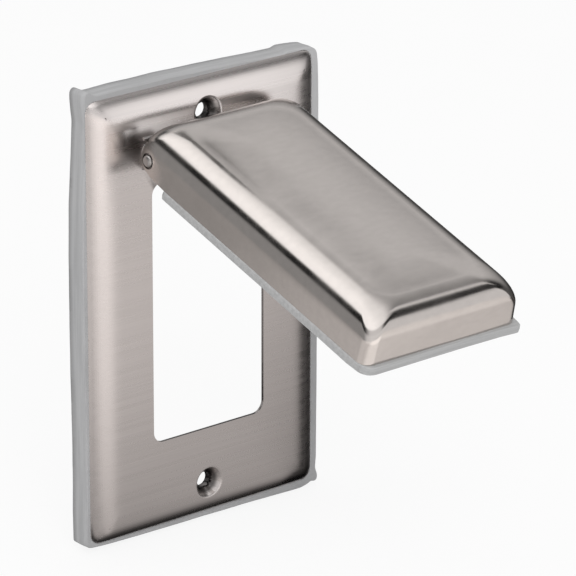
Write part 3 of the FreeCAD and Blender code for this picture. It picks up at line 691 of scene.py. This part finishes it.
def build_floor():
    """A pale floor, nearly white to the camera, with the part's shadow. In the metal it has levels of
    its own: a painted shadow next to the part, and painted light far in front and before the plate's left edge."""
    made, n = material("pale_floor")
    path = n.add("ShaderNodeLightPath")
    tone = n.mix(n.noise(n.place(), 30.0), (0.78, 0.78, 0.78, 1), (0.82, 0.82, 0.82, 1))
    matt = n.put(n.add("ShaderNodeBsdfDiffuse"), Color=tone)
    white = n.put(n.add("ShaderNodeEmission"), Color=(1, 1, 1, 1), Strength=1.0)
    place = n.place()
    x, y, _ = n.split(place)
    # Painted shadow in the mirrored floor: darkest at the part's foot, fading with the distance from it, and
    # painted light far in front.
    forward = n.math("MULTIPLY", y, -1.0)
    beside = n.math("SUBTRACT", n.math("ABSOLUTE", x), 40 * MM)
    behind = n.math("SUBTRACT", y, 60 * MM)
    away = n.math("MAXIMUM", n.math("MAXIMUM", beside, forward), behind)
    contact = n.ramp(away, 7 * MM, 14 * MM, 0.05, 1.0)
    shade = n.math("MULTIPLY", contact, n.ramp(away, 14 * MM, 140 * MM, 0.55, 1.0, smooth=False))
    shade = n.math("MULTIPLY", shade, n.ramp(forward, 240 * MM, 290 * MM, 1.0, 1.3))

    def about(x_off):
        """The compass angle about a place on the plate's face, this far to the right of its middle."""
        return compass(n, n.shift(place, (-x_off * MM, 9 * MM, 0.0)))

    # Painted light: a brighter sector in front of the plate's left edge.
    from_left = about(-28)
    glow = n.math("MULTIPLY", n.ramp(from_left, 0.38, 0.46), n.ramp(from_left, 0.545, 0.590, 0.40, 0.0))
    glow = n.math("ADD", glow, 1.0)
    level = n.math("MULTIPLY", n.math("MULTIPLY", levels(n, about(28), FLOOR_LEVELS), shade), glow)
    mirrored = n.put(n.add("ShaderNodeEmission"), Color=(1.0, 0.97, 0.95, 1), Strength=level)
    to_camera = n.math("MULTIPLY", path.outputs["Is Camera Ray"], 0.88)
    seen = n.either(to_camera, matt.outputs[0], white.outputs[0])
    both = n.either(path.outputs["Is Glossy Ray"], seen, mirrored.outputs[0])
    n.link(both, n.add("ShaderNodeOutputMaterial").inputs["Surface"])
    half, height = 3000 * MM, cad_box[0].z - MM
    floor = mesh_object("floor", [(-half, -half, height), (half, -half, height), (half, half, height),
                                  (-half, half, height)], [(0, 1, 2, 3)])
    floor.data.materials.append(made)


def build_world():
    """Studio surroundings for the metal: walls up to a dark gap, and above it a panel that is bright
    on the left and a dimmer ceiling on the right. In front and on the left the gap is filled, and
    a board that brightens upwards stands on the right and behind."""
    world = bpy.data.worlds.new("studio")
    bpy.context.scene.world = world
    world.use_nodes = True
    n = Nodes(world.node_tree)
    way = n.add("ShaderNodeTexCoord").outputs["Generated"]
    x, y, z = n.split(way)
    angle = compass(n, way)
    # The gap is tilted a little: it lies lower on the right and in front.
    height = n.dot(way, (0.035, -0.044, 1.0))
    walls = n.math("MULTIPLY", levels(n, angle, WALL_LEVELS), n.ramp(height, 0.42, 0.49, 1.0, 0.03))
    panel = n.math("MULTIPLY", n.ramp(x, 0.30, 0.56, 1.40, 0.0), n.ramp(x, -0.30, 0.42, 1.0, 0.74))
    ceiling = n.math("MULTIPLY", n.ramp(x, 0.30, 0.56), n.ramp(y, -0.15, 0.42, 0.28, 0.50, smooth=False))
    upper = n.math("MULTIPLY", n.math("ADD", panel, ceiling), n.ramp(height, 0.68, 0.73))
    filled = n.math("MULTIPLY", n.ramp(angle, 0.24, 0.39), n.ramp(angle, 0.53, 0.58, 0.82, 0.0))
    level = n.math("MAXIMUM", n.math("ADD", walls, upper), filled)
    board = n.math("MULTIPLY", n.ramp(angle, 0.72, 0.78), n.ramp(angle, 0.92, 0.96, 1.0, 0.0))
    board = n.math("MULTIPLY", board, n.ramp(z, 0.705, 0.755, 1.0, 0.0))
    level = n.mix(board, level, n.ramp(z, 0.15, 0.70, 0.06, 0.74, smooth=False))
    path = n.add("ShaderNodeLightPath")
    mirrored = n.put(n.add("ShaderNodeBackground"), Color=(1, 1, 1, 1), Strength=level)
    even = n.put(n.add("ShaderNodeBackground"), Color=(1, 1, 1, 1), Strength=0.85)
    white = n.put(n.add("ShaderNodeBackground"), Color=(1, 1, 1, 1), Strength=1.0)
    studio = n.either(path.outputs["Is Glossy Ray"], even.outputs[0], mirrored.outputs[0])
    both = n.either(path.outputs["Is Camera Ray"], studio, white.outputs[0])
    n.link(both, n.add("ShaderNodeOutputWorld").inputs["Surface"])


def glossy_card(name, corners, level):
    """A one-sided card that only reflections see."""
    made, n = material(name)
    glow = n.put(n.add("ShaderNodeEmission"), Color=(1, 1, 1, 1), Strength=level)
    clear = n.add("ShaderNodeBsdfTransparent")
    back = n.add("ShaderNodeNewGeometry").outputs["Backfacing"]
    side = n.either(back, glow.outputs[0], clear.outputs[0])
    n.link(side, n.add("ShaderNodeOutputMaterial").inputs["Surface"])
    card = mesh_object(name, [Vector(c) * MM for c in corners], [(0, 1, 2, 3)])
    card.data.materials.append(made)
    card.visible_camera = card.visible_diffuse = card.visible_shadow = False


def build_key_light():
    """One large soft lamp at the upper left, left out of the reflections. Metres and watts."""
    place, target = Vector((-0.5, -0.8, 0.75)), Vector((0, -0.03, 0))
    data = bpy.data.lights.new("key", "AREA")
    data.shape = "RECTANGLE"
    data.size = data.size_y = 0.5
    data.energy = 4.6
    lamp = bpy.data.objects.new("key", data)
    bpy.context.scene.collection.objects.link(lamp)
    lamp.location = place
    lamp.rotation_mode = "QUATERNION"
    lamp.rotation_quaternion = (target - place).to_track_quat("-Z", "Y")
    lamp.visible_glossy = False


def build_camera():
    """The photograph's view: angles in degrees, lens in millimetres, place in metres."""
    azimuth, elevation, roll = (math.radians(a) for a in (-39.437, 20.403, 0.108))
    back = Vector((math.sin(azimuth) * math.cos(elevation), -math.cos(azimuth) * math.cos(elevation),
                   math.sin(elevation)))
    right = Vector((math.cos(azimuth), math.sin(azimuth), 0))
    up = back.cross(right)
    right, up = (right * math.cos(roll) + up * math.sin(roll), up * math.cos(roll) - right * math.sin(roll))
    data = bpy.data.cameras.new("camera")
    data.sensor_width = 36.0
    data.lens = 305.62
    data.clip_start, data.clip_end = 0.05, 50.0
    camera = bpy.data.objects.new("camera", data)
    bpy.context.scene.collection.objects.link(camera)
    turned = Matrix((right, up, back)).transposed().to_4x4()
    turned.translation = Vector((-0.69877, -0.88919, 0.42116))
    camera.matrix_world = turned
    bpy.context.scene.camera = camera


build_floor()
build_world()
build_key_light()
glossy_card("upper_card", ((185, -166, 145), (75, -166, 145), (75, -166, 215), (185, -166, 215)), 0.85)
glossy_card("side_card", ((215, -208, 8), (112, -208, 8), (112, -208, 105), (215, -208, 105)), 0.82)
glossy_card("brow_card", ((66, -53, 22), (-2, -53, 22), (-2, -53, 88), (66, -53, 88)), 1.25)
glossy_card("overhead_card", ((16, 60, 150), (46, 60, 150), (46, 2, 150), (16, 2, 150)), 0.08)
build_camera()

bpy.context.scene.view_settings.view_transform = "Standard"
